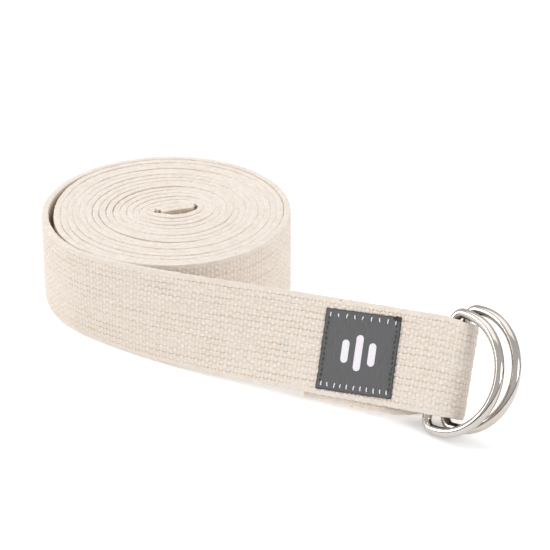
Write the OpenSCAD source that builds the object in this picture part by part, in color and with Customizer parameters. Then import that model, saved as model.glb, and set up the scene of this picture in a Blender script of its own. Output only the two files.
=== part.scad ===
// Stretching strap: flat cotton webbing on a roll, with two D-rings in a sewn loop and a label.
// The roll stands on its edge, its axis is +Z, and the free stretch runs towards +X.

/* [Webbing] */
// Width of the webbing
web_w = 38; // [30:1:50]
// Thickness of the webbing
web_t = 2.2; // [1.8:0.1:2.3]

/* [Roll] */
// Outer radius of the roll
roll_r = 51.9; // [51:0.1:60]
// Radial distance from one turn to the next
turn_pitch = 2.9; // [2.9:0.05:3.0]
// Depth of the loose crescent gap under the outermost turn
loose_gap = 2.0; // [0:0.1:2.0]
// How much the innermost turns are flattened
core_flat = 3.0; // [0:0.1:3.0]

/* [Tail] */
// Length of the free stretch from the roll to the doubled end
tail_len = 101.4; // [90:0.1:120]
// Backward lean of the doubled end, in degrees
end_lean = 30; // [0:1:32]
// Upward slope of the doubled end, in degrees
end_climb = 4; // [3:0.1:5]
// Length of the doubled end, from the hinge line to the fold
end_len = 67.8; // [67:0.1:70]

/* [D-rings] */
// Diameter of the ring wire
wire_d = 3.8; // [3.4:0.1:3.8]
// Half the length of a ring, to the wire's centre line
ring_half = 22.8; // [22.8:0.1:23.5]
// Depth of a ring from bar to crown, to the wire's centre line
ring_depth = 28.3; // [27.5:0.1:29]

/* [Label] */
// Side length of the square label
label_size = 31.5; // [26:0.5:32]
// Turn of the label on the webbing, anticlockwise, in degrees
label_turn = 1.5; // [0:0.5:2]

/* [Hidden] */
$fn = 48;

CREAM = [0.93, 0.88, 0.82];
THREAD = [0.96, 0.93, 0.88];
NICKEL = [0.78, 0.77, 0.75];
GREY = [0.42, 0.42, 0.43];
DARK = [0.24, 0.24, 0.25];
WHITE = [0.93, 0.91, 0.94];

// Roll: one turn is split into equal steps, counted inwards from the place where the tail leaves
steps_per_turn = 36;
turns = 15.58;
tail_heading = 15;
leave_angle = -90 - tail_heading;
drop_from = 0.78;
gap_span = 0.28;
gap_turns = 5;
core_axis = 45;
core_shift = 2.5;
core_shift_dir = 29;
hem_layers = 3;
hem_from = turns - 0.42;
hem_to = turns - 0.04;

// Hinge lines: a round nose on the tail turns in a hollow end face
nose_r = web_t / 2;
hinge_gap = 0.3;

// Tail: control values of the curves that its heading, lean and climb follow
tail_steps = 30;
heading_ctrl = [tail_heading, 4, 0.5, 0];
lean_ctrl = [0, 5, 22.5, end_lean];
climb_ctrl = [0, 1.2, 4.8, end_climb];

// Doubled end, in its own frame: x along the webbing, y towards its back, z across its width
layer_gap = 0.5;
back_from = 2.4;
front_ring_in = 11.2;
rear_ring_in = 6.0;
front_bar = [end_len - front_ring_in, web_t + layer_gap + wire_d / 2, web_w / 2 - 1.3];
rear_bar = [end_len - rear_ring_in, front_bar[1] + 3.0, web_w / 2 + 0.6];
front_tilt = 6.6;
rear_tilt = 3.7;
front_swing = 19.8;
rear_swing = 19.2;
pocket_y = rear_bar[1] + wire_d / 2 + layer_gap;
loop_y = pocket_y + web_t;
fold_r = 5;
pocket_from = end_len - 33;
pocket_full = end_len - 13;
arc_step = 15;
corner_cut_x = 12;
corner_cut_z = 1.3;

// D-ring outline
ring_corner = 4;

// Label
label_t = 0.5;
label_x = 24.3;
label_z = web_w / 2 - 0.65;
stitch_w = 0.6;
stitch_t = 0.3;
cross_stitch_len = 2.0;
top_stitches = 9;
bottom_stitches = 11;
cross_stitch_in = 2.2;
cross_row_shorter = 3;
side_stitch_len = 1.3;
side_stitches = 13;
side_stitch_in = 1.5;
side_row_shorter = 9;
motif_t = 0.15;
motif_bar_w = 3;
motif_bars = [9, 14, 9];
motif_gap = 2.6;
overlock_stitches = 12;
overlock_r = 0.35;
overlock_len = 3.0;
hem_stitches = 9;
hem_stitch_len = 2.2;
hem_clear = 0.05;

function bezier(c, u) =
    c[0] * pow(1 - u, 3) + 3 * c[1] * u * pow(1 - u, 2) + 3 * c[2] * u * u * (1 - u) + c[3] * pow(u, 3);
function smooth(x) = let (c = max(0, min(1, x))) c * c * (3 - 2 * c);
function spin(p, a) = [p[0] * cos(a) - p[1] * sin(a), p[0] * sin(a) + p[1] * cos(a)];

// Point of the roll at a number of turns inwards, at a depth below the outer face of the webbing
function turn_frac(turn) = turn - floor(turn);
function squeeze(turn) =
    turn < 1 || turn_frac(turn) > gap_span ? 0
    : loose_gap * pow(sin(180 * turn_frac(turn) / gap_span), 2) * max(0, 1 - floor(turn - 1) / gap_turns);
function inner_share(turn) = max(0, turn - 1) / (turns - 1);
function roll_radius(turn) =
    roll_r - turn_pitch * (floor(turn) + smooth((turn_frac(turn) - drop_from) / (1 - drop_from)))
    - squeeze(turn);
function roll_point(turn, depth) =
    let (
        radius = roll_radius(turn) - depth,
        flat = core_flat * pow(inner_share(turn), 2),
        angle = leave_angle - 360 * turn - core_axis,
        oval = [(radius + flat) * cos(angle), (radius - flat) * sin(angle)],
        shift = core_shift * inner_share(turn)
    )
    spin(oval, core_axis) + shift * [cos(core_shift_dir), sin(core_shift_dir)];
function strip_outline(from, to, near, far) =
    let (n = ceil((to - from) * steps_per_turn))
    concat(
        [for (i = [0:n]) roll_point(from + (to - from) * i / n, near)],
        [for (i = [n:-1:0]) roll_point(from + (to - from) * i / n, far)]
    );

// Section of the tail at a share of its length
function heading(u) = bezier(heading_ctrl, u);
function lean(u) = bezier(lean_ctrl, u);
function climb(u) = bezier(climb_ctrl, u);
function turned(p, u) =
    let (
        l = lean(u),
        c = climb(u),
        a = [p[0], p[1] * cos(l) + p[2] * sin(l), p[2] * cos(l) - p[1] * sin(l)],
        b = [a[0] * cos(c) - a[2] * sin(c), a[1], a[0] * sin(c) + a[2] * cos(c)],
        h = spin([b[0], b[1]], -heading(u))
    )
    [h[0], h[1], b[2]];
tail_start = roll_r * [cos(leave_angle), sin(leave_angle), 0];
tail_path = [
    for (
        i = 0, p = tail_start;
        i <= tail_steps;
        p = p + turned([tail_len / tail_steps, 0, 0], (i + 0.5) / tail_steps), i = i + 1
    ) p
];
end_origin = tail_path[tail_steps];
section = [[0, 0, 0], [0, web_t, 0], [0, web_t, web_w], [0, 0, web_w]];
corners = len(section);
tail_points = [
    for (i = [0:tail_steps]) for (p = section) tail_path[i] + turned(p, i / tail_steps)
];
tail_faces = concat(
    [[for (k = [0:corners - 1]) k]],
    [
        for (i = [0:tail_steps - 1]) for (k = [0:corners - 1])
            let (a = i * corners + k, b = i * corners + (k + 1) % corners)
            each [[a, a + corners, b], [b, a + corners, b + corners]]
    ],
    [[for (k = [corners - 1:-1:0]) tail_steps * corners + k]]
);

module at_end() {
    translate(end_origin)
        rotate([-end_lean, -end_climb, 0])
            children();
}

module on_label() {
    at_end()
        translate([label_x, 0, label_z])
            rotate([90, 0, 0])
                rotate([0, 0, label_turn])
                    children();
}

module pill(length, width, height) {
    reach = (length - width) / 2;
    linear_extrude(height)
        union() {
            square([length - width, width], center = true);
            for (side = [-1, 1])
                translate([side * reach, 0])
                    circle(d = width, $fn = 16);
        }
}

module webbing_roll() {
    color(CREAM)
        difference() {
            linear_extrude(web_w)
                union() {
                    polygon(strip_outline(0, turns, 0, web_t));
                    polygon(strip_outline(hem_from, hem_to, web_t, hem_layers * web_t));
                }
            translate((roll_r - nose_r) * [cos(leave_angle), sin(leave_angle), 0] - [0, 0, 1])
                cylinder(r = nose_r + hinge_gap, h = web_w + 2);
        }
}

module webbing_tail() {
    color(CREAM)
        union() {
            polyhedron(tail_points, tail_faces);
            translate((roll_r - nose_r) * [cos(leave_angle), sin(leave_angle), 0])
                cylinder(r = nose_r, h = web_w);
            at_end()
                translate([0, nose_r, 0])
                    cylinder(r = nose_r, h = web_w);
        }
}

function arc(centre, r, from, to) = [for (a = [from:arc_step:to]) centre + r * [cos(a), sin(a)]];

module loop_profile() {
    fold_x = end_len - fold_r;
    difference() {
        polygon(concat(
            [[0, 0]],
            arc([fold_x, fold_r], fold_r, -90, 0),
            arc([fold_x, loop_y - fold_r], fold_r, 0, 90),
            [[pocket_full, loop_y], [pocket_from, 2 * web_t], [back_from, 2 * web_t]],
            [[back_from, web_t], [0, web_t]]
        ));
        polygon(concat(
            [[pocket_from, web_t]],
            arc([fold_x, fold_r], fold_r - web_t, -90, 0),
            arc([fold_x, loop_y - fold_r], fold_r - web_t, 0, 90),
            [[pocket_full, pocket_y]]
        ));
    }
}

module corner_wedge() {
    translate([0, loop_y + 1, 0])
        rotate([90, 0, 0])
            linear_extrude(loop_y + 2)
                polygon([
                    [end_len - corner_cut_x, 0.01],
                    [end_len + 1, -corner_cut_z * (corner_cut_x + 1) / corner_cut_x],
                    [end_len + 1, 1],
                    [end_len - corner_cut_x, 1],
                ]);
}

module webbing_end_loop() {
    color(CREAM)
        at_end()
            difference() {
                linear_extrude(web_w)
                    loop_profile();
                translate([0, nose_r, -1])
                    cylinder(r = nose_r + hinge_gap, h = web_w + 2);
                translate([0, 0, web_w])
                    corner_wedge();
                mirror([0, 0, 1])
                    corner_wedge();
            }
}

module free_end_hem_stitches() {
    mid = (hem_from + hem_to) / 2;
    depth = hem_layers * web_t;
    foot = roll_point(mid, depth);
    tangent = roll_point(mid + 0.01, depth) - roll_point(mid - 0.01, depth);
    color(THREAD)
        for (i = [0:hem_stitches - 1])
            translate([foot[0], foot[1], web_w * (i + 0.5) / hem_stitches])
                rotate([0, 0, atan2(tangent[1], tangent[0])])
                    rotate([90, 90, 0])
                        translate([0, 0, hem_clear])
                            pill(hem_stitch_len, stitch_w, stitch_t);
}

module cut_edge_overlock() {
    color(THREAD)
        at_end()
            for (i = [0:overlock_stitches - 1])
                translate([back_from + 0.6, 2 * web_t + overlock_r, web_w * (i + 0.5) / overlock_stitches])
                    rotate([0, 90, 0])
                        cylinder(r = overlock_r, h = overlock_len, $fn = 16);
}

module half_ring() {
    big_x = ring_depth - ring_half;
    straight = ring_half - ring_corner;
    cylinder(d = wire_d, h = straight);
    translate([ring_corner, 0, straight])
        rotate([90, 0, 0])
            rotate([0, 0, 90])
                rotate_extrude(angle = 90)
                    translate([ring_corner, 0])
                        circle(d = wire_d);
    translate([ring_corner, 0, ring_half])
        rotate([0, 90, 0])
            cylinder(d = wire_d, h = big_x - ring_corner);
    translate([big_x, 0, 0])
        rotate([90, 0, 0])
            rotate_extrude(angle = 90)
                translate([ring_half, 0])
                    circle(d = wire_d);
}

module d_ring() {
    color(NICKEL)
        union() {
            half_ring();
            mirror([0, 0, 1])
                half_ring();
        }
}

module d_ring_front() {
    at_end()
        translate(front_bar)
            rotate([0, front_tilt, 0])
                rotate([0, 0, -front_swing])
                    d_ring();
}

module d_ring_rear() {
    at_end()
        translate(rear_bar)
            rotate([0, rear_tilt, 0])
                rotate([0, 0, -rear_swing])
                    d_ring();
}

module label_patch() {
    color(GREY)
        on_label()
            linear_extrude(label_t)
                square(label_size, center = true);
}

module label_motif() {
    span = motif_bar_w + motif_gap;
    color(WHITE)
        on_label()
            for (i = [0:len(motif_bars) - 1])
                translate([(i - 1) * span, 0, label_t])
                    rotate([0, 0, 90])
                        pill(motif_bars[i], motif_bar_w, motif_t);
}

module stitch_row(count, shorter) {
    step = (label_size - shorter) / (count - 1);
    for (i = [0:count - 1])
        translate([(i - (count - 1) / 2) * step, 0, label_t])
            children();
}

module label_cross_stitches() {
    color(THREAD)
        on_label()
            for (row = [[1, top_stitches], [-1, bottom_stitches]])
                translate([0, row[0] * (label_size / 2 - cross_stitch_in), 0])
                    stitch_row(row[1], cross_row_shorter)
                        rotate([0, 0, 90])
                            pill(cross_stitch_len, stitch_w, stitch_t);
}

module label_side_stitches() {
    color(DARK)
        on_label()
            for (side = [-1, 1])
                rotate([0, 0, 90])
                    translate([0, side * (label_size / 2 - side_stitch_in), 0])
                        stitch_row(side_stitches, side_row_shorter)
                            pill(side_stitch_len, stitch_w, stitch_t);
}

webbing_roll();
webbing_tail();
webbing_end_loop();
free_end_hem_stitches();
cut_edge_overlock();
d_ring_front();
d_ring_rear();
label_patch();
label_motif();
label_cross_stitches();
label_side_stitches();
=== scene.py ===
import math

import bpy
import numpy as np
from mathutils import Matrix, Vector


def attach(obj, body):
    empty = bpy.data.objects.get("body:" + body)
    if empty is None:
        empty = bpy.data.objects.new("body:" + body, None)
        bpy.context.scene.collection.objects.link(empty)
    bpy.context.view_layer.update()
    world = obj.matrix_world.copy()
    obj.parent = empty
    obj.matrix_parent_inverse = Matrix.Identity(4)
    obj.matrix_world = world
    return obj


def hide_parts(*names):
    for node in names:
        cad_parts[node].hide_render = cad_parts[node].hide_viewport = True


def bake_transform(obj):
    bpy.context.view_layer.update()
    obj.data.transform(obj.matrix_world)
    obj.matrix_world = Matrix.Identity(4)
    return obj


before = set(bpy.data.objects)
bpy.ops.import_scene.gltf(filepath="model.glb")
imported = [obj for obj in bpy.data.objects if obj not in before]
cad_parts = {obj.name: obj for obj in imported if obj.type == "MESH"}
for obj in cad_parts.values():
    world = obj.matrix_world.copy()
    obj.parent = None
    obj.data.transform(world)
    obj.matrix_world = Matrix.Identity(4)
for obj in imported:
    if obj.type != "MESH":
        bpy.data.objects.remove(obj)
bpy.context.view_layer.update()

# Lengths are in millimetres up to the point where a mesh is made, and MM turns them into metres.
MM = 0.001

# Webbing
WEB_W = 38.0
WEB_T = 2.2

# Roll: turns are counted inwards from the place where the tail leaves. The radius stays the same up to the
# share DROP_FROM of a turn and drops by one pitch over the rest. Under the outer turn, the first GAP_SPAN
# of each turn is drawn inwards by up to LOOSE_GAP, less with each turn and no more after GAP_TURNS turns.
# Towards the core the turns become oval along CORE_AXIS, and their middle shifts.
ROLL_R = 51.9
TURN_PITCH = 2.9
LOOSE_GAP = 2.0
TURNS = 15.58
TAIL_HEADING = 15.0
LEAVE_ANGLE = -90 - TAIL_HEADING
DROP_FROM = 0.78
GAP_SPAN = 0.28
GAP_TURNS = 5
CORE_FLAT = 3.0
CORE_AXIS = 45.0
CORE_SHIFT = 2.5
CORE_SHIFT_DIR = 29.0
HEM_TO = TURNS - 0.04
HEM_STITCHES = 9
HEM_STITCH_HALF = 1.1
HEM_LENGTH = 13.6
HEM_LAYER = 2.75
HEM_OFFSET = 0.95
HEM_BEND = 0.5
HEM_PROUD = 0.8
HEM_RETURN_SHORT = 1.5
HEM_STEP = 0.4
HEM_SEAM_X = 2.5
CORE_MIDDLE = (
    CORE_SHIFT * math.cos(math.radians(CORE_SHIFT_DIR)),
    CORE_SHIFT * math.sin(math.radians(CORE_SHIFT_DIR)),
    0,
)

# Tail and doubled end. The tail's heading, lean and climb each follow a cubic Bezier curve, in degrees.
TAIL_LEN = 101.4
TAIL_SPLIT = 0.55
HINGE_BEND = 16.0
END_LEAN = 30.0
END_CLIMB = 4.0
HEADING_CTRL = (TAIL_HEADING, 4, 0.5, 0)
LEAN_CTRL = (0, 5, 22.5, END_LEAN)
CLIMB_CTRL = (0, 1.2, 4.8, END_CLIMB)
END_LEN = 67.8
BACK_FROM = 2.4
POCKET_FROM = END_LEN - 33
POCKET_FULL = END_LEN - 13
LOOP_Y = 12.2
FOLD_R = 5.0
LAYER_GAP = 0.2
MEET_PAST_FOLD = 14
CORNER_CUT_X = 12.0
TOP_CUT = 1.3
LOW_CUT = 0.3
# How the returned layer comes to hang lower than the front one, in steps. Each has the length past END_LEN
# where it starts, the length that it takes and the drop that it adds.
DROP_STEPS = ((-14, 22, 0.45), (23, 14, 2.25), (36, 30, -0.7))
BACK_DROP = sum(added for _, _, added in DROP_STEPS)

# Label
LABEL_SIZE = 31.5
LABEL_TURN = 1.5
LABEL_X = 24.3
LABEL_Z = WEB_W / 2 - 0.65
LABEL_T = 0.6
TOP_STITCHES = 9
BOTTOM_STITCHES = 11
SIDE_STITCHES = 13
MOTIF_BARS = (9, 14, 9)
MOTIF_BAR_W = 3.0
MOTIF_GAP = 2.6

# Weave: a plain weave whose warp yarns lie in pairs along the strap
PAIR_PITCH = WEB_W / 16
YARN_IN_PAIR = 1.10
WARP_HALF = 0.68
WARP_CROWN = 0.20
WARP_RISE = 0.24
PICK = 1.64
WEFT_HALF = 0.74
WEFT_CROWN = 0.24
WEFT_RISE = 0.14
WEFT_LOW = 0.06
PAIR_GAP_DEPTH = 0.16
WEAVE_MID = 0.08
WEAVE_FLOOR = -0.45
WARP_SHARPNESS = 0.8
UNEVENNESS = 0.55
GAP_LINE_HALF = 0.25
GAP_LINE_FAINTEST = 0.35
# CROWN_LOW to CROWN_HIGH maps the weave's heights to colour: painted shade, darker and browner, in the
# hollows and paler on the crowns. EDGE_CONTRAST paints the bumps on the edges the same way.
CROWN_LOW = -0.16
CROWN_HIGH = 0.26
EDGE_TONE = 0.72
EDGE_FUZZ = 0.11
EDGE_CONTRAST = 1.5
SELVEDGE_FROM = 0.7
SELVEDGE = 1.7
EDGE_BULGE = 0.5
EDGE_DEPTH_CURVE = 0.55
EDGE_WIDTH_CURVE = 0.6
STEP_S = PICK / 6
STEP_Z = PAIR_PITCH / 8
HIDDEN_RELIEF = 0.3
FACE_MARGIN = 0.8

# Camera: where it stands round the roll's axis, and where it looks
CAMERA_DIST = 930.35
CAMERA_AZIMUTH = 29.0
CAMERA_ELEVATION = 27.42
LOOK_AZIMUTH = 25.846
LOOK_DOWN = 28.135
FOCAL_MM = 144.0
SENSOR_MM = 36


# ---------------------------------------------------------------- small maths

def bezier(ctrl, u):
    v = 1 - u
    return ctrl[0] * v**3 + 3 * ctrl[1] * u * v**2 + 3 * ctrl[2] * u * u * v + ctrl[3] * u**3


def smooth(x):
    c = np.clip(x, 0, 1)
    return c * c * (3 - 2 * c)


def turn_xy(x, y, degrees):
    a = np.radians(degrees)
    return x * np.cos(a) - y * np.sin(a), x * np.sin(a) + y * np.cos(a)


def unit(v):
    return v / np.linalg.norm(v, axis=-1, keepdims=True)


def soft_noise(x, y, seed):
    """Smooth noise from -1 to 1 over the plane, one bump per unit."""
    table = np.random.default_rng(seed).uniform(-1, 1, (256, 256))
    x, y = np.broadcast_arrays(np.asarray(x, float), np.asarray(y, float))
    i, j = np.floor(x).astype(int), np.floor(y).astype(int)
    fx, fy = smooth(x - i), smooth(y - j)
    a, b = table[i % 256, j % 256], table[(i + 1) % 256, j % 256]
    c, d = table[i % 256, (j + 1) % 256], table[(i + 1) % 256, (j + 1) % 256]
    return (a * (1 - fx) + b * fx) * (1 - fy) + (c * (1 - fx) + d * fx) * fy


def drifting(along, middle, spread, length, seed):
    """A value that drifts along the strap, with one bump in each length."""
    return middle + spread * soft_noise(along / length, 0 * along, seed)


# ---------------------------------------------------------------- where the strap runs
# A station is a place along the strap: its outer face's lower edge, the way into its thickness and the way
# up its width. "along" counts from the hinge where the tail leaves the roll, and is negative in the roll.

def roll_point(turn, depth):
    whole = np.floor(turn)
    part = turn - whole
    easing = np.sin(np.pi * part / GAP_SPAN) ** 2 * np.maximum(0, 1 - np.floor(turn - 1) / GAP_TURNS)
    squeeze = np.where((turn < 1) | (part > GAP_SPAN), 0, LOOSE_GAP * easing)
    inner = np.maximum(0, turn - 1) / (TURNS - 1)
    radius = ROLL_R - TURN_PITCH * (whole + smooth((part - DROP_FROM) / (1 - DROP_FROM))) - squeeze - depth
    flat = CORE_FLAT * inner**2
    angle = np.radians(LEAVE_ANGLE - 360 * turn - CORE_AXIS)
    x, y = turn_xy((radius + flat) * np.cos(angle), (radius - flat) * np.sin(angle), CORE_AXIS)
    shift = CORE_SHIFT * inner
    x = x + shift * np.cos(np.radians(CORE_SHIFT_DIR))
    y = y + shift * np.sin(np.radians(CORE_SHIFT_DIR))
    return np.stack([x, y, np.zeros_like(x)], -1)


def turned(p, u):
    """A vector at the start of the tail, turned to how the tail stands at a share u of its length."""
    lean, climb = np.radians(bezier(LEAN_CTRL, u)), np.radians(bezier(CLIMB_CTRL, u))
    x, y, z = p
    y, z = y * np.cos(lean) + z * np.sin(lean), z * np.cos(lean) - y * np.sin(lean)
    x, z = x * np.cos(climb) - z * np.sin(climb), x * np.sin(climb) + z * np.cos(climb)
    x, y = turn_xy(x, y, -bezier(HEADING_CTRL, u))
    return np.stack([x, y, z], -1)


STEPS_A_TURN = 2000
TAIL_STEPS = 240
TAIL_START = ROLL_R * np.array([
    math.cos(math.radians(LEAVE_ANGLE)), math.sin(math.radians(LEAVE_ANGLE)), 0,
])
tail_mids = (np.arange(TAIL_STEPS) + 0.5) / TAIL_STEPS
tail_moves = turned((TAIL_LEN / TAIL_STEPS, 0, 0), tail_mids)
TAIL_PATH = TAIL_START + np.vstack([np.zeros(3), np.cumsum(tail_moves, 0)])
END_ORIGIN = TAIL_PATH[-1]
END_X = turned((1, 0, 0), 1.0)
END_Y = turned((0, 1, 0), 1.0)
END_Z = turned((0, 0, 1), 1.0)


def end_point(x, y, z):
    """Points given in the doubled end's own axes: x along it, y towards its back, z across its width."""
    x, y, z = np.broadcast_arrays(*(np.asarray(v, float) for v in (x, y, z)))
    return END_ORIGIN + x[..., None] * END_X + y[..., None] * END_Y + z[..., None] * END_Z


def label_point(x, y, height):
    """Points given on the label: x and y from its middle, height out of its face."""
    x, y = turn_xy(np.asarray(x, float), np.asarray(y, float), LABEL_TURN)
    return end_point(LABEL_X + x, -np.asarray(height, float), LABEL_Z + y)


def evenly(points, step, *others):
    """The polyline resampled at even steps, and its other columns with it."""
    length = np.concatenate([[0], np.cumsum(np.linalg.norm(np.diff(points, axis=0), axis=1))])
    at = np.linspace(0, length[-1], int(round(length[-1] / step)) + 1)
    columns = [np.stack([np.interp(at, length, c) for c in points.T], -1)]
    columns += [np.interp(at, length, o) for o in others]
    return at, columns


def roll_stations(first, last, step, margin):
    """Stations of the roll between two turns, outermost last, with margin more stations at each end."""
    turn = np.linspace(last, first, int((last - first) * STEPS_A_TURN) + 1)
    at, (_, turn) = evenly(roll_point(turn, WEB_T / 2), step, turn)
    along = at - at[-1] - roll_length(first)
    if margin:
        reach = np.arange(1, margin + 1)
        part = turn[-2] - turn[-1]
        turn = np.concatenate([turn[0] + part * reach[::-1], turn, turn[-1] - part * reach])
        along = np.concatenate([along[0] - step * reach[::-1], along, along[-1] + step * reach])
    outer, inner = roll_point(turn, 0.0), roll_point(turn, WEB_T)
    return along, outer, (inner - outer) / WEB_T, np.broadcast_to([0.0, 0, 1], outer.shape)


def roll_length(turn):
    """Length of webbing between the tail and a number of turns inwards."""
    if turn <= 0:
        return 0.0
    path = roll_point(np.linspace(0, turn, int(turn * STEPS_A_TURN) + 2), WEB_T / 2)
    return float(np.linalg.norm(np.diff(path, axis=0), axis=1).sum())


def tail_stations(along):
    u = np.asarray(along, float) / TAIL_LEN
    place = np.stack([np.interp(u, np.linspace(0, 1, TAIL_STEPS + 1), c) for c in TAIL_PATH.T], -1)
    beyond = (np.maximum(u - 1, 0) * TAIL_LEN)[:, None] * END_X
    before = (np.minimum(u, 0) * TAIL_LEN)[:, None] * turned((1, 0, 0), 0.0)
    inside = np.clip(u, 0, 1)
    return along, place + beyond + before, turned((0, 1, 0), inside), turned((0, 0, 1), inside)


def arc(centre, radius, start, stop, steps=12):
    a = np.radians(np.linspace(start, stop, steps))
    return np.stack([centre[0] + radius * np.cos(a), centre[1] + radius * np.sin(a)], -1)


# The corners of the returned layer are rounded over this many stations each way, and the rounding fades in
# over this length.
ROUNDING = 10
ROUNDING_FADE = 6.0


def loop_stations(step, margin):
    """Stations of the doubled end: along the front, round the fold and back to the cut edge."""
    fold_x = END_LEN - FOLD_R
    back_y = 2 * WEB_T + LAYER_GAP
    path = np.vstack([
        [[-margin * step, 0]],
        arc((fold_x, FOLD_R), FOLD_R, -90, 0),
        arc((fold_x, LOOP_Y - FOLD_R), FOLD_R, 0, 90),
        [[POCKET_FULL, LOOP_Y], [POCKET_FROM, back_y], [BACK_FROM, back_y]],
    ])
    at, (path,) = evenly(path, step)
    rounded = path.copy()
    window = np.hanning(2 * ROUNDING + 1)
    window /= window.sum()
    for c in range(2):
        padded = np.pad(path[:, c], ROUNDING, mode="reflect", reflect_type="odd")
        rounded[:, c] = np.convolve(padded, window, mode="valid")
    back = smooth((at - (2 * END_LEN - POCKET_FULL)) / ROUNDING_FADE)[:, None]
    path = path * (1 - back) + rounded * back
    tangent = unit(np.gradient(path, axis=0))
    along = TAIL_LEN - margin * step + at
    beyond = at - margin * step - END_LEN
    drop = sum(added * smooth((beyond - start) / length) for start, length, added in DROP_STEPS)
    place = end_point(path[:, 0], path[:, 1], -drop)
    into = end_point(-tangent[:, 1], tangent[:, 0], 0) - END_ORIGIN
    up = np.broadcast_to(END_Z, place.shape)
    cut = smooth((path[:, 0] - END_LEN + CORNER_CUT_X) / CORNER_CUT_X)
    return (along, place, into, up), (LOW_CUT * cut, TOP_CUT * cut)


# ---------------------------------------------------------------- weave and cross-section

def yarn_heights(along, across, side):
    """How far the woven surface stands out, one row per station and one column per place across."""
    along, across = along[:, None], across[None, :]
    slow_shift, quick_shift = soft_noise(along / 23, across / 3.1, 1), soft_noise(along / 5, across, 5)
    picks = (along + 0.16 * slow_shift + 0.10 * quick_shift) / PICK
    slow_sway, quick_sway = soft_noise(along / 9, across / 7, 2), soft_noise(along / 2.5, across / 2, 6)
    wobbly = across + 0.10 * slow_sway + 0.05 * quick_sway
    lively = np.random.default_rng(7).uniform(-1, 1, (64, 512))
    pair = np.floor(wobbly / PAIR_PITCH)
    surface = np.full(np.broadcast(along, across).shape, WEAVE_FLOOR)
    for near in (-1, 0, 1):
        for half in (0, 1):
            yarn = (2 * (pair + near) + half).astype(int)
            middle = (pair + near + 0.5) * PAIR_PITCH + (half - 0.5) * YARN_IN_PAIR
            wave = np.cos(np.pi * (picks + yarn + side))
            bump = lively[yarn % 64, np.round(picks).astype(int) % 512]
            off = (wobbly - middle) / WARP_HALF
            body = WARP_CROWN * (np.sqrt(np.maximum(0, 1 - off * off)) - 1)
            rise = WARP_RISE * (1 + UNEVENNESS * bump) * np.sign(wave) * np.abs(wave) ** WARP_SHARPNESS
            surface = np.maximum(surface, np.where(np.abs(off) < 1, rise + body, WEAVE_FLOOR))
    across_pair = wobbly / PAIR_PITCH - pair
    order = 2 * pair + 0.5 + (across_pair - 0.5) * PAIR_PITCH / YARN_IN_PAIR
    order = np.clip(order, 2 * pair - 0.5, 2 * pair + 1.5)
    for near in (-1, 0, 1):
        pick = np.round(picks) + near
        off = (picks - pick) * PICK / WEFT_HALF
        wave = -np.cos(np.pi * (pick + order + side))
        bump = lively[(pick.astype(int) * 7) % 64, np.round(order).astype(int) % 512]
        body = WEFT_CROWN * (np.sqrt(np.maximum(0, 1 - off * off)) - 1) - WEFT_LOW
        rise = WEFT_RISE * (1 + UNEVENNESS * bump) * wave
        surface = np.maximum(surface, np.where(np.abs(off) < 1, rise + body, WEAVE_FLOOR))
    from_gap = (np.abs(across_pair - 0.5) - 0.5) * PAIR_PITCH
    bold = np.clip(0.6 + 0.9 * soft_noise(along / 13, np.round(wobbly / PAIR_PITCH) * 7.3, 3), 0, 1.4)
    dots = GAP_LINE_FAINTEST + (1 - GAP_LINE_FAINTEST) * np.sin(np.pi * picks) ** 2
    return surface + WEAVE_MID - PAIR_GAP_DEPTH * bold * dots * np.exp(-((from_gap / GAP_LINE_HALF) ** 2))


def section(face_step, back_step, edge_steps=8):
    """The strap's outline, as columns: depth, width, the way out in both, and the part it is on. The parts
    are 0 the outer face, 1 the upper edge, 2 the inner face and 3 the lower edge."""
    def face(step):
        n = int(round((WEB_W - 2 * FACE_MARGIN) / step))
        return np.linspace(FACE_MARGIN, WEB_W - FACE_MARGIN, n + 1)

    front, back = face(face_step), face(back_step)[::-1]
    turn = np.linspace(0, np.pi, edge_steps + 1)[1:-1]
    edge_d = WEB_T / 2 * (1 - np.sign(np.cos(turn)) * np.abs(np.cos(turn)) ** EDGE_DEPTH_CURVE)
    edge_z = FACE_MARGIN - EDGE_BULGE + EDGE_BULGE * np.sin(turn) ** EDGE_WIDTH_CURVE
    depth = np.concatenate([0 * front, edge_d, 0 * back + WEB_T, edge_d[::-1]])
    width = np.concatenate([front, WEB_W - FACE_MARGIN + edge_z, back, FACE_MARGIN - edge_z[::-1]])
    out_d = np.concatenate([0 * front - 1, -np.cos(turn), 0 * back + 1, -np.cos(turn[::-1])])
    out_z = np.concatenate([0 * front, np.sin(turn), 0 * back, -np.sin(turn)])
    part = np.concatenate([0 * front, 0 * turn + 1, 0 * back + 2, 0 * turn + 3])
    return depth, width, out_d, out_z, part


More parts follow.
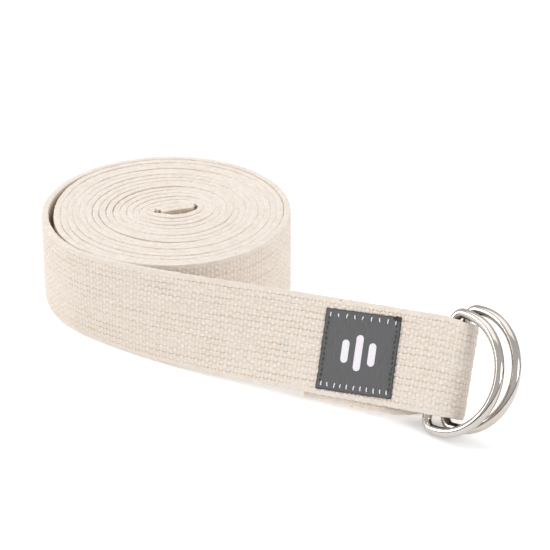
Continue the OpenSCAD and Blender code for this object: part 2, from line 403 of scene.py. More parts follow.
def ribbon(
    stations, outline, relief=(1.0, 1.0), trim=(0.0, 0.0), fill=0.0, edge_wave=0.06, face_tone=1.0,
):
    """Points of the webbing, one row per station and one column per point of its outline, and how high each
    stands in the weave, from 0 in a hollow to 1 on a crown; the material paints the hollows darker and
    browner as painted shade. The trim takes width off the lower and the upper edge, the fill adds thickness
    on the back, and a painted shade tone under 1 makes the two faces browner, as painted shade."""
    along, place, into, up = stations
    depth, width, out_d, out_z, part = outline
    calm = smooth((np.minimum(width, WEB_W - width) - SELVEDGE_FROM) / SELVEDGE)
    stand = np.zeros((len(along), len(depth)))
    crown = np.full_like(stand, EDGE_TONE)
    for side, strength in enumerate(relief):
        where = part == 2 * side
        height = yarn_heights(along, width[where], side)
        stand[:, where] = height * calm[where] * strength
        # The weave's height becomes painted shade: darker and browner in the hollows, paler on the crowns.
        tone = np.clip((height - CROWN_LOW) / (CROWN_HIGH - CROWN_LOW), 0, 1)
        tone = tone * calm[where] + EDGE_TONE * (1 - calm[where])
        # A painted shade tone under 1 browns the faces as painted shade.
        crown[:, where] = tone * face_tone
    edge = (part == 1) | (part == 3)
    stand[:, edge] = edge_wave * np.cos(np.pi * along / PICK)[:, None]
    stand[:, edge] += EDGE_FUZZ * soft_noise(along[:, None] / 2.3, depth[edge][None] * 1.7 + 9, 4)
    # Painted shade on the bumps of the edges: paler where they stand out, darker where they dip.
    crown[:, edge] = np.clip(EDGE_TONE + EDGE_CONTRAST * stand[:, edge], 0, 1)
    low, high = (np.broadcast_to(t, along.shape)[:, None] for t in trim)
    z = low + width[None] * (WEB_W - low - high) / WEB_W + out_z[None] * stand
    d = depth[None] * (1 + np.broadcast_to(fill, along.shape)[:, None] / WEB_T) + out_d[None] * stand
    points = place[:, None] + into[:, None] * d[..., None] + up[:, None] * z[..., None]
    return points, crown


def sheet_normals(points):
    """Smooth normals of a closed tube of points, from its neighbours along and around."""
    lengthwise = np.gradient(points, axis=0)
    around = np.roll(points, -1, axis=1) - np.roll(points, 1, axis=1)
    return unit(np.cross(around, lengthwise))


# ---------------------------------------------------------------- meshes

def new_object(name, verts, faces, material, smooth_faces=True):
    mesh = bpy.data.meshes.new(name)
    mesh.from_pydata(np.asarray(verts).tolist(), [], faces)
    mesh.validate()
    mesh.polygons.foreach_set("use_smooth", [smooth_faces] * len(mesh.polygons))
    mesh.materials.append(material)
    mesh.update()
    made = bpy.data.objects.new(name, mesh)
    bpy.context.scene.collection.objects.link(made)
    return made


def tube_faces(rows, columns, first=0):
    """Quads of a closed tube of rows by columns points, with a face on each end."""
    i, j = np.meshgrid(np.arange(rows - 1), np.arange(columns), indexing="ij")
    a = first + i * columns + j
    b = first + i * columns + (j + 1) % columns
    quads = np.stack([a, b, b + columns, a + columns], -1).reshape(-1, 4)
    ends = [
        [first + c for c in range(columns - 1, -1, -1)],
        [first + (rows - 1) * columns + c for c in range(columns)],
    ]
    return quads.tolist(), ends


def webbing_object(name, stations, outline, margin, **shape):
    """A closed piece of webbing. The margin stations only set the shading at its two ends, so that pieces
    which follow each other along the strap meet with no visible line."""
    points, crown = ribbon(stations, outline, **shape)
    normals = sheet_normals(points)
    keep = slice(margin, len(points) - margin)
    points, crown, normals = points[keep], crown[keep], normals[keep]
    along, width = stations[0][keep], outline[1]
    rows, columns = crown.shape
    quads, ends = tube_faces(rows, columns)
    made = new_object(name, points.reshape(-1, 3) * MM, quads + ends, WEBBING)
    mesh = made.data
    corner_normals = np.zeros((len(mesh.loops), 3))
    corner_verts = np.zeros(len(mesh.loops), int)
    mesh.loops.foreach_get("vertex_index", corner_verts)
    corner_normals[:] = normals.reshape(-1, 3)[corner_verts]
    for end in range(len(quads), len(mesh.polygons)):
        polygon = mesh.polygons[end]
        corner_normals[polygon.loop_start:polygon.loop_start + polygon.loop_total] = polygon.normal
    mesh.normals_split_custom_set(corner_normals.tolist())
    # The weave attribute carries the colour tone, with its painted shade in the hollows and between the
    # turns.
    weave = mesh.attributes.new("weave", "FLOAT", "POINT")
    weave.data.foreach_set("value", crown.reshape(-1).astype(np.float32))
    lie = np.zeros((rows, columns, 3), np.float32)
    lie[..., 0] = along[:, None]
    lie[..., 1] = width[None]
    lie[..., 2] = outline[0][None]
    place = mesh.attributes.new("lie", "FLOAT_VECTOR", "POINT")
    place.data.foreach_set("vector", lie.reshape(-1))
    return made


PLY_RELIEF = 0.16


def tube(path, radius, sides=10, plies=2, twist=1.1, flat_to=None):
    """A twisted thread along a path of points in millimetres, closed at both ends."""
    path = np.asarray(path, float)
    tangent = unit(np.gradient(path, axis=0))
    guide = np.array([0.31, -0.47, 0.82]) if flat_to is None else np.asarray(flat_to, float)
    side = unit(np.cross(tangent, guide))
    over = np.cross(side, tangent)
    length = np.concatenate([[0], np.cumsum(np.linalg.norm(np.diff(path, axis=0), axis=1))])
    around = np.linspace(0, 2 * np.pi, sides, endpoint=False)
    lay = np.cos(plies * (around[None] - 2 * np.pi * length[:, None] / twist))
    reach = np.minimum(length, length[-1] - length) / radius
    taper = np.sqrt(np.clip(1 - (1 - np.clip(reach, 0.02, 1)) ** 2, 0, 1))
    r = radius * (1 + PLY_RELIEF * lay) * taper[:, None]
    ring = np.cos(around)[None, :, None] * side[:, None] + np.sin(around)[None, :, None] * over[:, None]
    verts = path[:, None] + r[..., None] * ring
    quads, ends = tube_faces(len(path), sides)
    return verts.reshape(-1, 3), quads + ends


def joined(parts):
    """Several meshes as one list of points and one of faces."""
    verts, faces, count = [], [], 0
    for part_verts, part_faces in parts:
        verts.append(np.asarray(part_verts))
        faces += [[count + v for v in face] for face in part_faces]
        count += len(part_verts)
    return np.vstack(verts), faces


def stitch(start, end, out, radius, rise, points=13):
    """A thread that comes out of the cloth at start, bows over it and goes back in at end."""
    start, end, out = (np.asarray(v, float) for v in (start, end, out))
    t = np.linspace(0, 1, points)[:, None]
    bow = np.sin(np.pi * t) ** 0.6
    path = start + (end - start) * t + out * (rise * bow - 1.3 * radius * (1 - bow))
    return tube(path, radius, twist=1.3, flat_to=out)


# ---------------------------------------------------------------- materials

class Nodes:
    """A material's node tree, with short calls for the nodes that the materials share."""

    def __init__(self, name):
        self.material = bpy.data.materials.new(name)
        self.material.use_nodes = True
        self.tree = self.material.node_tree
        self.shader = self.tree.nodes["Principled BSDF"]

    def add(self, kind, **values):
        node = self.tree.nodes.new(kind)
        for key, value in values.items():
            if key in node.inputs.keys():
                node.inputs[key].default_value = value
            else:
                setattr(node, key, value)
        return node

    def link(self, source, target):
        self.tree.links.new(source, target)

    def set(self, **values):
        for key, value in values.items():
            self.shader.inputs[key.replace("_", " ")].default_value = value

    def attribute(self, name):
        return self.add("ShaderNodeAttribute", attribute_name=name)

    def noise(self, vector, scale, stretch=(1, 1, 1), detail=3.0, roughness=0.6):
        mapping = self.add("ShaderNodeMapping", vector_type="POINT")
        mapping.inputs["Scale"].default_value = stretch
        self.link(vector, mapping.inputs["Vector"])
        noise = self.add("ShaderNodeTexNoise", Scale=scale, Detail=detail, Roughness=roughness)
        self.link(mapping.outputs["Vector"], noise.inputs["Vector"])
        return noise.outputs["Fac"]

    def ramp(self, value, stops):
        ramp = self.add("ShaderNodeValToRGB")
        elements = ramp.color_ramp.elements
        while len(elements) < len(stops):
            elements.new(0.5)
        for element, (place, colour) in zip(elements, stops):
            element.position = place
            element.color = (*colour, 1) if len(colour) == 3 else colour
        self.link(value, ramp.inputs["Fac"])
        return ramp.outputs["Color"]

    def mix(self, factor, a, b, blend="MIX"):
        node = self.add("ShaderNodeMix", data_type="RGBA", blend_type=blend)
        for socket, value in ((0, factor), (6, a), (7, b)):
            if isinstance(value, (int, float)):
                node.inputs[socket].default_value = value
            elif isinstance(value, tuple):
                node.inputs[socket].default_value = (*value, 1)
            else:
                self.link(value, node.inputs[socket])
        return node.outputs[2]

    def bump(self, height, strength, distance, under=None):
        node = self.add("ShaderNodeBump", Strength=strength, Distance=distance)
        self.link(height, node.inputs["Height"])
        if under is not None:
            self.link(under, node.inputs["Normal"])
        return node.outputs["Normal"]


def cotton_webbing():
    m = Nodes("natural_cotton_webbing")
    lie = m.attribute("lie").outputs["Vector"]
    weave = m.attribute("weave").outputs["Fac"]
    # The tan end of the ramp is painted shade in the weave's hollows and in the gaps between the turns; the
    # crowns are pale.
    pale, cream, tan = (0.925, 0.858, 0.80), (0.868, 0.782, 0.70), (0.50, 0.32, 0.17)
    body = m.ramp(weave, [(0.0, tan), (0.2, (0.76, 0.59, 0.42)), (0.5, cream), (1.0, pale)])
    patches = m.ramp(m.noise(lie, 0.16, (1, 2.2, 1)), [(0.35, (0.955, 0.95, 0.945)), (0.65, (1, 1, 1))])
    body = m.mix(1.0, body, patches, "MULTIPLY")
    yarns = m.ramp(m.noise(lie, 0.9, (0.35, 1.6, 1)), [(0.3, (0.90, 0.89, 0.875)), (0.7, (1, 1, 1))])
    body = m.mix(1.0, body, yarns, "MULTIPLY")
    fine = m.noise(lie, 1.9, (1, 1.4, 1.4), detail=2.0)
    grain = m.ramp(fine, [(0.3, (0.87, 0.845, 0.82)), (0.6, (1, 1, 1))])
    body = m.mix(1.0, body, grain, "MULTIPLY")
    sparse = m.noise(lie, 0.55, (0.8, 1.3, 1), detail=1.0)
    flecks = m.ramp(sparse, [(0.775, (0, 0, 0)), (0.81, (1, 1, 1))])
    body = m.mix(flecks, body, (0.42, 0.29, 0.18))
    m.link(body, m.shader.inputs["Base Color"])
    fibres = m.noise(lie, 2.6, (0.55, 2.4, 2.4), detail=4.0, roughness=0.7)
    normal = m.bump(fibres, 0.6, 0.00025)
    m.link(normal, m.shader.inputs["Normal"])
    m.set(Roughness=0.93, Specular_IOR_Level=0.15, Sheen_Weight=0.12, Sheen_Roughness=0.5)
    return m.material


def thread(name, dark, light):
    m = Nodes(name)
    where = m.add("ShaderNodeTexCoord").outputs["Object"]
    strands = m.noise(where, 2600, (1, 1, 1), detail=3.0)
    m.link(m.ramp(strands, [(0.3, dark), (0.7, light)]), m.shader.inputs["Base Color"])
    m.link(m.bump(strands, 0.35, 0.00005), m.shader.inputs["Normal"])
    m.set(Roughness=0.75, Specular_IOR_Level=0.25, Sheen_Weight=0.1)
    return m.material


def label_cloth():
    m = Nodes("grey_label_cloth")
    lie = m.attribute("lie").outputs["Vector"]
    streaks = m.noise(lie, 1.3, (3.0, 0.16, 1), detail=3.0)
    body = m.ramp(streaks, [(0.25, (0.092, 0.092, 0.096)), (0.75, (0.136, 0.136, 0.140))])
    rim = m.attribute("weave").outputs["Fac"]
    body = m.mix(m.ramp(rim, [(0.0, (1, 1, 1)), (1.0, (0, 0, 0))]), body, (0.074, 0.071, 0.076))
    m.link(body, m.shader.inputs["Base Color"])
    warp = m.add("ShaderNodeTexWave", Scale=1.15, Distortion=0.6, Detail=1.0, wave_type="BANDS")
    warp.bands_direction = "X"
    m.link(lie, warp.inputs["Vector"])
    weft = m.add("ShaderNodeTexWave", Scale=0.8, Distortion=0.6, Detail=1.0, wave_type="BANDS")
    weft.bands_direction = "Y"
    m.link(lie, weft.inputs["Vector"])
    normal = m.bump(warp.outputs["Fac"], 0.35, 0.00008)
    normal = m.bump(weft.outputs["Fac"], 0.25, 0.00008, normal)
    m.link(normal, m.shader.inputs["Normal"])
    m.set(Roughness=0.62, Specular_IOR_Level=0.3, Sheen_Weight=0.15)
    return m.material


def label_print():
    m = Nodes("pale_label_print")
    where = m.add("ShaderNodeTexCoord").outputs["Object"]
    grain = m.noise(where, 1900, (1, 1, 1), detail=2.0)
    ink = m.ramp(grain, [(0.2, (0.76, 0.73, 0.78)), (0.8, (0.88, 0.85, 0.90))])
    m.link(ink, m.shader.inputs["Base Color"])
    m.link(m.bump(grain, 0.2, 0.00004), m.shader.inputs["Normal"])
    m.set(Roughness=0.6)
    return m.material


def polished_nickel():
    m = Nodes("polished_nickel")
    where = m.add("ShaderNodeTexCoord").outputs["Object"]
    cloud = m.noise(where, 90, (1, 1, 1), detail=3.0)
    tone = m.ramp(cloud, [(0.3, (0.53, 0.485, 0.45)), (0.7, (0.60, 0.555, 0.52))])
    m.link(tone, m.shader.inputs["Base Color"])
    haze = m.ramp(m.noise(where, 420, (1, 1, 1), detail=4.0), [(0.3, (0.07,) * 3), (0.75, (0.15,) * 3)])
    m.link(haze, m.shader.inputs["Roughness"])
    marks = m.noise(where, 1500, (1, 1, 0.15), detail=2.0)
    m.link(m.bump(marks, 0.05, 0.00002), m.shader.inputs["Normal"])
    m.set(Metallic=1.0)
    return m.material


WEBBING = cotton_webbing()
PALE_THREAD = thread("pale_cotton_thread", (0.66, 0.61, 0.55), (0.90, 0.87, 0.82))
WHITE_THREAD = thread("white_label_thread", (0.74, 0.73, 0.73), (0.95, 0.94, 0.94))
TAN_THREAD = thread("tan_cotton_thread", (0.60, 0.38, 0.22), (0.80, 0.58, 0.40))
DARK_THREAD = thread("dark_grey_thread", (0.022, 0.020, 0.022), (0.090, 0.085, 0.088))
LABEL_CLOTH = label_cloth()
LABEL_PRINT = label_print()
NICKEL = polished_nickel()


# ---------------------------------------------------------------- webbing

MARGIN = 3


def finish_piece(made, body=None, stands_for=(), blend=None):
    """What every piece needs: a body to move with, or its transform baked into its points where a blend is
    given, and the CAD nodes that it stands for.
    """
    if blend:
        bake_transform(made)
    else:
        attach(made, body)
    if stands_for:
        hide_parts(*stands_for)
    return made


# The faces that lie hidden in the roll have wider steps. Inside the roll the cloth is filled out, in part
# or all the way to the next turn, so that the turns lie close.
HIDDEN_STEP_Z = 3.6
OUTER_FILL = 0.5
OUTER_FILL_OVER = 30


def outer_turn(name, first, last):
    stations = roll_stations(first, last, STEP_S, MARGIN)
    made = webbing_object(
        name, stations, section(STEP_Z, HIDDEN_STEP_Z), MARGIN,
        relief=(1.0, HIDDEN_RELIEF), fill=OUTER_FILL * smooth(-stations[0] / OUTER_FILL_OVER),
    )
    return finish_piece(made, "roll", ["webbing_roll"])


INNER_STEP = 1.0
INNER_STEP_Z = 4.0
INNER_EDGE_STEPS = 10
# The inner turns show only in the gaps between the turns, and this tone paints their faces browner there as
# shade.
INNER_PAINTED_SHADE_TONE = 0.22
FILL_MOST = 0.67
CORE_FROM_TURN = 14.6
CORE_START = roll_length(CORE_FROM_TURN)
CORE_FADE = 20
CORE_FILL = 0.5


def inner_turns():
    stations = roll_stations(1, HEM_TO, INNER_STEP, 1)
    along = stations[0]
    low = drifting(along, middle=0.15, spread=0.15, length=60, seed=12)
    high = drifting(along, middle=0.25, spread=0.25, length=70, seed=11)
    fill = np.minimum(drifting(along, middle=0.60, spread=0.14, length=17, seed=13), FILL_MOST)
    made = webbing_object(
        "webbing_inner_turns", stations, section(INNER_STEP_Z, INNER_STEP_Z, INNER_EDGE_STEPS), 1,
        relief=(HIDDEN_RELIEF, HIDDEN_RELIEF), trim=(low, high),
        fill=fill + CORE_FILL * smooth((-along - CORE_START) / CORE_FADE),
        edge_wave=0.05, face_tone=INNER_PAINTED_SHADE_TONE,
    )
    return finish_piece(made, "roll")


HEM_STEP_Z = 1.0
HEM_EDGE_STEPS = 12
HEM_FILL = 0.25
# The hem's faces are painted browner as shade in the hollow of the core.
HEM_PAINTED_SHADE_TONE = 0.35


def folded_hem():
    """The strap's inner end, folded back on itself and standing a little proud of the turns round it."""
    near, far = HEM_OFFSET, HEM_OFFSET - HEM_LAYER
    reach = HEM_LENGTH / 2
    path = np.vstack([
        [[-reach, near]],
        arc((reach, (near + far) / 2), HEM_LAYER / 2, 90, -90),
        [[-reach + HEM_RETURN_SHORT, far]],
    ])
    _, (path,) = evenly(path, HEM_STEP)
    path[:, 1] += HEM_BEND * (1 - (path[:, 0] / reach) ** 2)
    tangent = unit(np.gradient(path, axis=0))
    x, y = turn_xy(path[:, 0], path[:, 1], CORE_AXIS)
    into = np.stack([*turn_xy(tangent[:, 1], -tangent[:, 0], CORE_AXIS), 0 * x], -1)
    along = -roll_length(HEM_TO) - HEM_STEP * np.arange(len(x))
    place = np.stack([x, y, 0 * x + HEM_PROUD], -1) + CORE_MIDDLE - into * WEB_T / 2
    stations = (along, place, into, np.broadcast_to([0.0, 0, 1], place.shape))
    made = webbing_object(
        "webbing_folded_hem", stations, section(HEM_STEP_Z, HEM_STEP_Z, HEM_EDGE_STEPS), 0,
        relief=(0.6, 0.6), trim=(0.2, 0.1), fill=HEM_FILL, face_tone=HEM_PAINTED_SHADE_TONE,
    )
    return finish_piece(made, "roll")


def tail_piece(name, first, last, blend):
    count = int(round((last - first) / STEP_S))
    step = (last - first) / count
    along = first + step * np.arange(-MARGIN, count + MARGIN + 1)
    made = webbing_object(name, tail_stations(along), section(STEP_Z, STEP_Z), MARGIN)
    return finish_piece(made, stands_for=["webbing_tail"], blend=blend)


def tail():
    split = TAIL_SPLIT * TAIL_LEN
    points = tail_stations(np.array([0, HINGE_BEND, TAIL_LEN - HINGE_BEND, TAIL_LEN]))[1] * MM
    swing = ("roll", "tail", tuple(points[0]), tuple(points[1]))
    flex = ("tail", "strap_end", tuple(points[2]), tuple(points[3]))
    tail_piece("webbing_tail_near_roll", 0, split, swing)
    tail_piece("webbing_tail_near_label", split, TAIL_LEN, flex)


def doubled_end():
    """The strap folded back through the rings, in two pieces that meet behind the fold."""
    stations, trim = loop_stations(STEP_S, MARGIN)
    meet = int((END_LEN + MEET_PAST_FOLD) / STEP_S) + MARGIN
    for name, first, last in (
        ("webbing_front_layer", 0, meet + 1 + MARGIN), ("webbing_returned_layer", meet - MARGIN, None),
    ):
        rows = slice(first, last)
        part = tuple(column[rows] for column in stations)
        made = webbing_object(
            name, part, section(STEP_Z, STEP_Z), MARGIN, trim=tuple(t[rows] for t in trim),
        )
        finish_piece(made, "strap_end", ["webbing_end_loop"])


outer_turn("webbing_outer_turn_near_tail", 0, 0.5)
outer_turn("webbing_outer_turn_far_side", 0.5, 1)
inner_turns()
folded_hem()
tail()
doubled_end()


# ---------------------------------------------------------------- label and stitches

CROSS_STITCH_IN = 2.2
CROSS_STITCH_HALF = 0.82
SIDE_STITCH_IN = 1.5
SIDE_STITCH_HALF = 0.55
LABEL_STITCH_R = 0.22
LABEL_OUT = -END_Y
LABEL_GRID = 85
LABEL_BACK = 0.08


def puckers(inset, stitch_in, half, place, pitch):
    """How much a seam draws the cloth down, from 0 to 1, with one dip at each stitch."""
    across_seam = np.exp(-(((inset - stitch_in) / half) ** 2))
    return across_seam * (0.5 + 0.5 * np.cos(2 * np.pi * place / pitch))


def rim_share(x, y):
    """How near a place is to the label's rim: 0 in its middle, 1 on its rim."""
    return np.maximum(np.abs(x), np.abs(y)) / (LABEL_SIZE / 2)


def label_height(x, y):
    """Height of the label's face over the webbing: flat in the middle, drawn down at its seams."""
    inset_x, inset_y = LABEL_SIZE / 2 - np.abs(x), LABEL_SIZE / 2 - np.abs(y)
    side_seam = puckers(inset_x, SIDE_STITCH_IN, half=0.7, place=y, pitch=2.0)
    cross_seam = puckers(inset_y, CROSS_STITCH_IN, half=0.9, place=x, pitch=3.1)
    swell = 0.07 * soft_noise(x / 6 + 40, y / 6 + 40, 21)
    return LABEL_T + swell - 0.10 * side_seam - 0.08 * cross_seam


def label():
    n = LABEL_GRID
    side = np.linspace(-1, 1, n) * LABEL_SIZE / 2
    x, y = np.meshgrid(side, side, indexing="ij")
    share = rim_share(x, y)
    frayed = smooth((share - 0.9) / 0.1)
    x = x + 0.24 * frayed * soft_noise(y * 1.6, x * 0.3, 22)
    y = y + 0.20 * frayed * soft_noise(x * 1.6, y * 0.3, 23)
    top = label_height(x, y) - 0.08 * smooth((share - 0.965) / 0.035)
    verts = np.vstack([
        label_point(x, y, top).reshape(-1, 3),
        label_point(x, y, np.full_like(x, LABEL_BACK)).reshape(-1, 3),
    ])
    i, j = np.meshgrid(np.arange(n - 1), np.arange(n - 1), indexing="ij")
    a = (i * n + j).reshape(-1)
    upper = np.stack([a, a + n, a + n + 1, a + 1], -1)
    lower = upper[:, ::-1] + n * n
    rim = [k * n for k in range(n)] + [(n - 1) * n + k for k in range(1, n)]
    rim += [k * n + n - 1 for k in range(n - 2, -1, -1)] + [k for k in range(n - 2, 0, -1)]
    wall = [[a, a + n * n, b + n * n, b] for a, b in zip(rim, rim[1:] + rim[:1])]
    made = new_object("label_cloth", verts * MM, upper.tolist() + lower.tolist() + wall, LABEL_CLOTH)
    lie = np.stack([x, y, 0 * x], -1).reshape(-1, 3).astype(np.float32)
    place = made.data.attributes.new("lie", "FLOAT_VECTOR", "POINT")
    place.data.foreach_set("vector", np.vstack([lie, lie]).reshape(-1))
    bare = 1 - smooth((share - 0.955) / 0.03).reshape(-1)
    weave = made.data.attributes.new("weave", "FLOAT", "POINT")
    weave.data.foreach_set("value", np.concatenate([bare, bare]).astype(np.float32))
    return finish_piece(made, "strap_end", ["label_patch"])


def label_stitch(x, y, lean, half, rise):
    """A stitch across a place on the label, with its two ends on the cloth."""
    ends = [(x - lean, y - half), (x + lean, y + half)]
    ends = [label_point(a, b, label_height(a, b)) for a, b in ends]
    return stitch(*ends, LABEL_OUT, LABEL_STITCH_R, rise)


def cross_stitches():
    rng = np.random.default_rng(31)
    parts = []
    for side, count in ((1, TOP_STITCHES), (-1, BOTTOM_STITCHES)):
        for i in range(count):
            x = (i - (count - 1) / 2) * (LABEL_SIZE - 4) / (count - 1) + rng.uniform(-0.2, 0.2)
            y = side * (LABEL_SIZE / 2 - CROSS_STITCH_IN) + rng.uniform(-0.15, 0.15)
            half = CROSS_STITCH_HALF + rng.uniform(-0.2, 0.15)
            lean = rng.uniform(-0.2, 0.2)
            parts.append(label_stitch(x, y, lean, half, rise=0.26))
    verts, faces = joined(parts)
    made = new_object("label_cross_stitch_threads", verts * MM, faces, WHITE_THREAD)
    return finish_piece(made, "strap_end", ["label_cross_stitches"])


def side_stitches():
    rng = np.random.default_rng(32)
    parts = []
    for side in (-1, 1):
        for i in range(SIDE_STITCHES):
            x = side * (LABEL_SIZE / 2 - SIDE_STITCH_IN) + rng.uniform(-0.2, 0.2)
            y = (i - (SIDE_STITCHES - 1) / 2) * (LABEL_SIZE - 7) / (SIDE_STITCHES - 1)
            half = SIDE_STITCH_HALF + rng.uniform(-0.2, 0.25)
            lean = rng.uniform(-0.2, 0.2)
            parts.append(label_stitch(x, y, lean, half, rise=0.2))
    verts, faces = joined(parts)
    made = new_object("label_side_stitch_threads", verts * MM, faces, DARK_THREAD)
    return finish_piece(made, "strap_end", ["label_side_stitches"])


FRAYED_ENDS = 60
KNOT_LOOPS = 6


def rim_threads():
    """Frayed dark threads along the label's four edges, and the knot that ends the seam at one corner."""
    rng = np.random.default_rng(33)
    parts = []
    half = LABEL_SIZE / 2 - 0.12
    for turn in range(4):
        t = np.linspace(-half, half, 90)
        off = half + 0.2 * soft_noise(t * 1.1, 0 * t + turn * 5, 34)
        height = 0.46 + 0.10 * soft_noise(t * 0.8, 0 * t + turn * 3, 35)
        x, y = turn_xy(t, off, 90 * turn)
        parts.append(tube(label_point(x, y, height), 0.08, sides=8))
    for k in range(FRAYED_ENDS):
        turn = rng.integers(4)
        t = rng.uniform(-half, half) + np.array([0, 0.2, 0.1]) * rng.uniform(-1.5, 1.5)
        off = half + np.array([-0.3, 0.15, 0.2 + rng.uniform(0.2, 0.5)])
        x, y = turn_xy(t, off, 90 * turn)
        parts.append(tube(label_point(x, y, [0.5, 0.5, 0.32]), 0.08, sides=6))
    for k in range(KNOT_LOOPS):
        a = np.linspace(0, 2 * np.pi * 0.92, 20) + k
        r = 0.75 + 0.25 * np.sin(3 * a + k)
        x = half - 0.9 - 0.25 * k + r * np.cos(a) * 1.3
        y = half - 0.6 + r * np.sin(a) * (0.6 + 0.1 * k)
        parts.append(tube(label_point(x, y, 0.62 + 0.16 * np.sin(2 * a + k)), 0.15, sides=8))
    verts, faces = joined(parts)
    made = new_object("label_rim_threads", verts * MM, faces, DARK_THREAD)
    return finish_piece(made, "strap_end")


def waste_thread():
    """The tan end of the seam's thread, which sticks out under the lower edge."""
    t = np.linspace(0, 1, 30)
    x = LABEL_X - 2.2 + 3.0 * t + 0.3 * np.sin(5 * t)
    y = 2 * WEB_T - 0.6 - 1.2 * t
    z = -BACK_DROP + 0.5 - 1.0 * np.sin(np.pi * t) ** 0.8
    verts, faces = tube(end_point(x, y, z), 0.24, sides=8)
    made = new_object("seam_thread_end", verts * MM, faces, TAN_THREAD)
    return finish_piece(made, "strap_end")


def motif():
    """Three upright pills, printed a little proud of the label."""
    parts = []
    full = MOTIF_BAR_W / 2
    half_turn = np.linspace(0, 180, 19)
    a = np.radians(np.concatenate([half_turn, half_turn + 180]))
    for k, length in enumerate(MOTIF_BARS):
        x0 = (k - 1) * (MOTIF_BAR_W + MOTIF_GAP)
        lift = np.where(np.arange(len(a)) < len(half_turn), 1, -1) * (length - MOTIF_BAR_W) / 2
        rings = []
        for radius, height in ((full, -0.1), (full, 0.05), (full - 0.08, 0.13)):
            x, y = x0 + radius * np.cos(a), lift + radius * np.sin(a)
            rings.append(label_point(x, y, label_height(x, y) + height))
        quads, ends = tube_faces(3, len(a))
        parts.append((np.vstack(rings), quads + ends))
    verts, faces = joined(parts)
    made = new_object("label_motif_print", verts * MM, faces, LABEL_PRINT, smooth_faces=False)
    return finish_piece(made, "strap_end", ["label_motif"])


OVERLOCK_TURNS = 13
OVERLOCK_IN = 1.3
OVERLOCK_SWING = 1.6
OVERLOCK_R = 0.3
OVERLOCK_END_GAP = 1.6


def overlock():
    """Zigzag thread over the cut edge, on the back of the doubled end."""
    t = np.linspace(0, 1, OVERLOCK_TURNS * 14)
    z = OVERLOCK_END_GAP + (WEB_W - 2 * OVERLOCK_END_GAP) * t - BACK_DROP
    swing = np.sin(2 * np.pi * OVERLOCK_TURNS * t)
    x = BACK_FROM + OVERLOCK_IN + OVERLOCK_SWING * np.sign(swing) * np.abs(swing) ** 0.7
    past_edge = np.clip((BACK_FROM + 0.2 - x) / 0.5, 0, 1)
    y = 2 * WEB_T + 0.62 - 0.5 * past_edge
    verts, faces = tube(end_point(x, y, z), OVERLOCK_R, sides=8)
    made = new_object("cut_edge_overlock_thread", verts * MM, faces, PALE_THREAD)
    return finish_piece(made, "strap_end", ["cut_edge_overlock"])


def hem_stitches():
    """The seam across the hem, on the outer face of its second layer."""
    parts = []
    sag = HEM_BEND * (1 - (2 * HEM_SEAM_X / HEM_LENGTH) ** 2)
    x, y = turn_xy(HEM_SEAM_X, HEM_OFFSET - HEM_LAYER + sag - WEB_T / 2, CORE_AXIS)
    foot = np.array([x, y, 0]) + CORE_MIDDLE
    outwards = np.array([*turn_xy(0, -1, CORE_AXIS), 0])
    for i in range(HEM_STITCHES):
        z = WEB_W * (i + 0.5) / HEM_STITCHES
        ends = [foot + np.array([0, 0, z + end * HEM_STITCH_HALF]) for end in (-1, 1)]
        parts.append(stitch(*ends, outwards, radius=0.27, rise=0.25))
    verts, faces = joined(parts)
    made = new_object("hem_stitch_threads", verts * MM, faces, PALE_THREAD)
    return finish_piece(made, "roll", ["free_end_hem_stitches"])


patch = label()
seams = [cross_stitches(), side_stitches(), rim_threads(), motif()]
waste_thread()
overlock()
hem_stitches()


# ---------------------------------------------------------------- rings

for ring in ("d_ring_front", "d_ring_rear"):
    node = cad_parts[ring]
    node.data.materials.clear()
    node.data.materials.append(NICKEL)


# ---------------------------------------------------------------- floor, light and camera

SKY = 0.76


def pale_floor():
    m = Nodes("pale_floor")
    where = m.add("ShaderNodeTexCoord").outputs["Object"]
    grain = m.ramp(m.noise(where, 3.0), [(0.3, (0.935,) * 3), (0.7, (0.95,) * 3)])
    m.link(grain, m.shader.inputs["Base Color"])
    m.set(Roughness=0.95, Specular_IOR_Level=0.0)
    m.set(Emission_Color=(1, 1, 1, 1), Emission_Strength=0.20)
    bpy.ops.mesh.primitive_plane_add(size=40.0, location=(0, 0, -0.0002))
    floor = bpy.context.object
    floor.name = "pale_floor"
    floor.data.materials.append(m.material)


def softbox(name, place, aim, size, radiance):
    light = bpy.data.lights.new(name, "AREA")
    light.shape = "RECTANGLE"
    light.size, light.size_y = size
    light.energy = radiance * size[0] * size[1] * math.pi
    holder = bpy.data.objects.new(name, light)
    holder.location = place
    holder.rotation_euler = (Vector(aim) - Vector(place)).to_track_quat("-Z", "Y").to_euler()
    bpy.context.scene.collection.objects.link(holder)


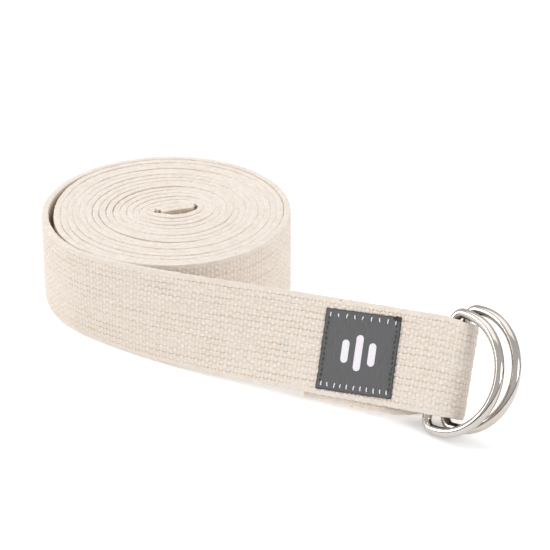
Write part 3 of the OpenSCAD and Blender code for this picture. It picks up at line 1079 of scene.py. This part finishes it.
def studio():
    """A white room with a dark band round its horizon, which gives the polished rings thin dark lines."""
    world = bpy.data.worlds.new("studio")
    bpy.context.scene.world = world
    world.use_nodes = True
    tree = world.node_tree
    place = tree.nodes.new("ShaderNodeTexCoord")
    split = tree.nodes.new("ShaderNodeSeparateXYZ")
    ramp = tree.nodes.new("ShaderNodeValToRGB")
    stops = ((0.0, 0.02), (0.09, 0.04), (0.15, 0.85), (0.5, 0.95), (1.0, 0.90))
    while len(ramp.color_ramp.elements) < len(stops):
        ramp.color_ramp.elements.new(0.5)
    for element, (height, grey) in zip(ramp.color_ramp.elements, stops):
        element.position = height
        element.color = (grey, grey, grey, 1)
    back = tree.nodes["Background"]
    tree.links.new(place.outputs["Generated"], split.inputs["Vector"])
    tree.links.new(split.outputs["Z"], ramp.inputs["Fac"])
    tree.links.new(ramp.outputs["Color"], back.inputs["Color"])
    back.inputs["Strength"].default_value = SKY
    softbox("overhead_softbox", (-0.1, 0.2, 1.3), (0.03, 0, 0), size=(1.6, 1.2), radiance=1.05)
    softbox("left_softbox", (-1.4, -0.5, 0.7), (0.03, 0, 0.02), size=(0.7, 0.7), radiance=5.7)
    softbox("right_softbox", (1.5, -0.4, 0.7), (0.05, 0, 0.02), size=(0.6, 0.7), radiance=5.4)


def camera():
    azimuth, elevation = math.radians(CAMERA_AZIMUTH), math.radians(CAMERA_ELEVATION)
    level = math.cos(elevation)
    away = Vector((math.sin(azimuth) * level, -math.cos(azimuth) * level, math.sin(elevation)))
    turn, down = math.radians(LOOK_AZIMUTH), math.radians(LOOK_DOWN)
    look = Vector((-math.sin(turn) * math.cos(down), math.cos(turn) * math.cos(down), -math.sin(down)))
    lens = bpy.data.cameras.new("camera")
    lens.lens = FOCAL_MM
    lens.sensor_width = SENSOR_MM
    lens.clip_start = 0.05
    holder = bpy.data.objects.new("camera", lens)
    holder.location = Vector((0, 0, WEB_W / 2 * MM)) + away * CAMERA_DIST * MM
    holder.rotation_euler = look.to_track_quat("-Z", "Y").to_euler()
    bpy.context.scene.collection.objects.link(holder)
    bpy.context.scene.camera = holder


pale_floor()
studio()
camera()
bpy.context.scene.view_settings.view_transform = "Standard"
